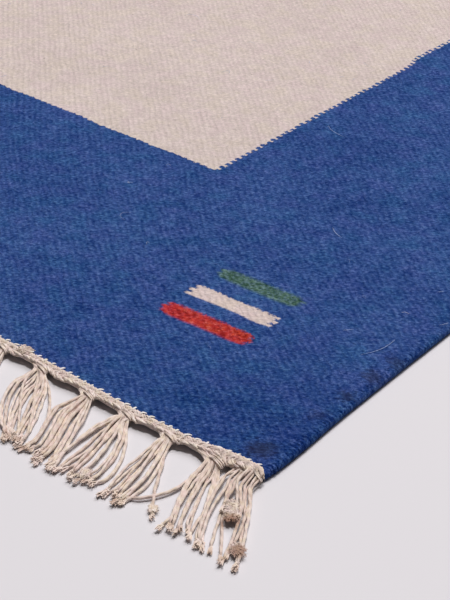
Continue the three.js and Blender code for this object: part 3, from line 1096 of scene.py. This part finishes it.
loose = {
    "dyes": dyedStops(
        (0.0, (78, 104, 164)), (0.5, (112, 134, 190)), (0.8, (160, 172, 210)), (1.0, (228, 222, 218))
    ),
    "pale": dyedStops((0.0, (188, 200, 232)), (1.0, (222, 230, 250))),
    "count": 950,
    "thick": 0.07 * mm,
    "taper": [0.5, 0.8, 1, 1, 1, 0.8, 0.5],
    "shortest": 3 * mm,
    "longest": 16 * mm,
    "set": [  # pale ends that stand out: from and to, in millimetres
        ((577.6, -791.0), (583.0, -768.1)),
        ((558.0, -778.7), (561.5, -774.1)),
        ((411.0, -584.1), (428.2, -590.5)),
        ((492.1, -693.9), (502.7, -700.0)),
        ((593.0, -741.0), (595.4, -736.0)),
        ((574.6, -714.0), (577.2, -710.5)),
    ],
    "setThick": [0.05, 0.07, 0.09, 0.1, 0.1, 0.1, 0.09, 0.07, 0.05],
}


def makeLooseWool(material, paleMaterial):
    rng = np.random.default_rng(29)
    count = loose["count"]
    x = rng.uniform(-1, 1, count) * (halfWidth - 20 * mm)
    y = rng.uniform(-1, 1, count) * (halfLength - 20 * mm)
    length = loose["shortest"] + (loose["longest"] - loose["shortest"]) * rng.random(count) ** 2.5
    turn = rng.uniform(0, fullTurn, count)
    bend = rng.normal(0, 0.7, count)
    knots = []
    for share in (-0.5, -0.17, 0.17, 0.5):
        px, py = alongCurl(x, y, turn, bend * 2, length, share)
        rise = (0.75 - abs(share) * 1.7) * mm * rng.uniform(0.5, 1.2, count)
        knots.append(placesOf(px, py, topZ + lieOfCloth(px, py) + rise))
    radii = unevenRadii(rng, count, loose["thick"], (0.7, 1.3), loose["taper"])
    piece = tubePiece("looseWool", splineThrough(np.stack(knots, axis=1), 7), radii, 3, material)

    lines = []
    for start, end in loose["set"]:
        start, end = np.array(start) * mm, np.array(end) * mm
        way = end - start
        aside = np.array([-way[1], way[0]]) * -0.09
        line = [start, start + way * 0.33 + aside, start + way * 0.67 + aside, end]
        heights = topZ + np.array([0.15, 0.45, 0.45, 0.15]) * mm
        lines.append([(*point, height) for point, height in zip(line, heights)])
    ends = splineThrough(np.array(lines), len(loose["setThick"]))
    piece = tubePiece("looseEnds", ends, np.array(loose["setThick"]) * mm, 4, paleMaterial)


studio = {
    "floor": (0.67, 0.645, 0.67),
    "lamps": {  # where each stands from the near corner, in metres
        "keyLight": {"from": (-1.4, 2.2, 12.6), "size": 2.6, "power": 860, "colour": (1.0, 0.985, 0.97)},
        "topLight": {"from": (-0.6, 3.8, 6.0), "size": 6.0, "power": 385, "colour": (0.99, 0.985, 0.99)},
    },
    "litPoint": (-0.2, 0.25, 0),  # they point there, from the same corner
    "fill": {"strength": 0.075, "colour": (0.95, 0.96, 1.0)},
}


def makeStudio(corner):
    mesh = bpy.data.meshes.new("studioFloor")
    mesh.from_pydata([(-20, -20, 0), (20, -20, 0), (20, 20, 0), (-20, 20, 0)], [], [(0, 1, 2, 3)])
    floor = placed("studioFloor", mesh)
    floor.location.z = baseZ - 0.2 * mm
    shade = Shade("paleFloor")
    looks = {"Base Color": asColour(studio["floor"]), "Roughness": 0.9, "Specular IOR Level": 0.0}
    shade.show(shade.add("ShaderNodeBsdfPrincipled", None, looks))
    mesh.materials.append(shade.material)

    for name, lamp in studio["lamps"].items():
        light = bpy.data.lights.new(name, "AREA")
        light.shape = "DISK"
        light.size = lamp["size"]
        light.energy = lamp["power"]
        light.color = lamp["colour"]
        holder = placed(name, light)
        holder.location = corner + Vector(lamp["from"])
        way = corner + Vector(studio["litPoint"]) - holder.location
        holder.rotation_euler = way.to_track_quat("-Z", "Y").to_euler()

    world = bpy.data.worlds.new("studioWorld")
    world.use_nodes = True
    background = world.node_tree.nodes["Background"]
    background.inputs["Color"].default_value = asColour(studio["fill"]["colour"])
    background.inputs["Strength"].default_value = studio["fill"]["strength"]
    bpy.context.scene.world = world
    bpy.context.scene.view_settings.view_transform = "Standard"


camera = {
    "offset": (0.2892, -0.4127, 0.4106), "azimuth": 37.41, "elevation": 32.28, "roll": 2.4, "lens": 87.1,
}


def makeCamera(corner):
    turn, tilt = math.radians(camera["azimuth"]), math.radians(camera["elevation"])
    forward = Vector((-math.sin(turn) * math.cos(tilt), math.cos(turn) * math.cos(tilt), -math.sin(tilt)))
    right = forward.cross(Vector((0, 0, 1))).normalized()
    up = right.cross(forward)
    matrix = Matrix((right, up, -forward)).transposed().to_4x4()
    matrix = matrix @ Matrix.Rotation(math.radians(camera["roll"]), 4, "Z")
    matrix.translation = corner + Vector(camera["offset"])
    data = bpy.data.cameras.new("rugCamera")
    data.sensor_fit = "VERTICAL"
    data.sensor_height = 36
    data.lens = camera["lens"]
    data.clip_start = 0.01
    holder = placed("rugCamera", data)
    holder.matrix_world = matrix
    bpy.context.scene.camera = holder


nearCorner = Vector((halfWidth, -halfLength, topZ))
makeCamera(nearCorner)
makeStudio(nearCorner)
print("camera and studio are set")

woolFinish = weaveMaterial()
rugCloth = makeCloth(woolFinish)
print("cloth is woven")
makeTurns(woolFinish)
print("sides are turned")
yarnFinishes = {
    "yarn": yarnMaterial("warpYarn", yarn["ivory"]),
    "litPlait": yarnMaterial("litPlaitYarn", yarn["litPlait"]),
    "fine": yarnMaterial("fineYarn", yarn["litPlait"], relief=0.12),
    "pale": yarnMaterial("paleWool", yarn["pale"], relief=0.12),
}
nearFringe = makeFringe("nearFringe", -1, "fringe_near", yarnFinishes, 5)
farFringe = makeFringe("farFringe", 1, "fringe_far", yarnFinishes, 8)
print("fringes are plaited")
makeLooseWool(looseMaterial("looseWool", loose["dyes"]), looseMaterial("paleHair", loose["pale"]))
print("loose wool is laid")
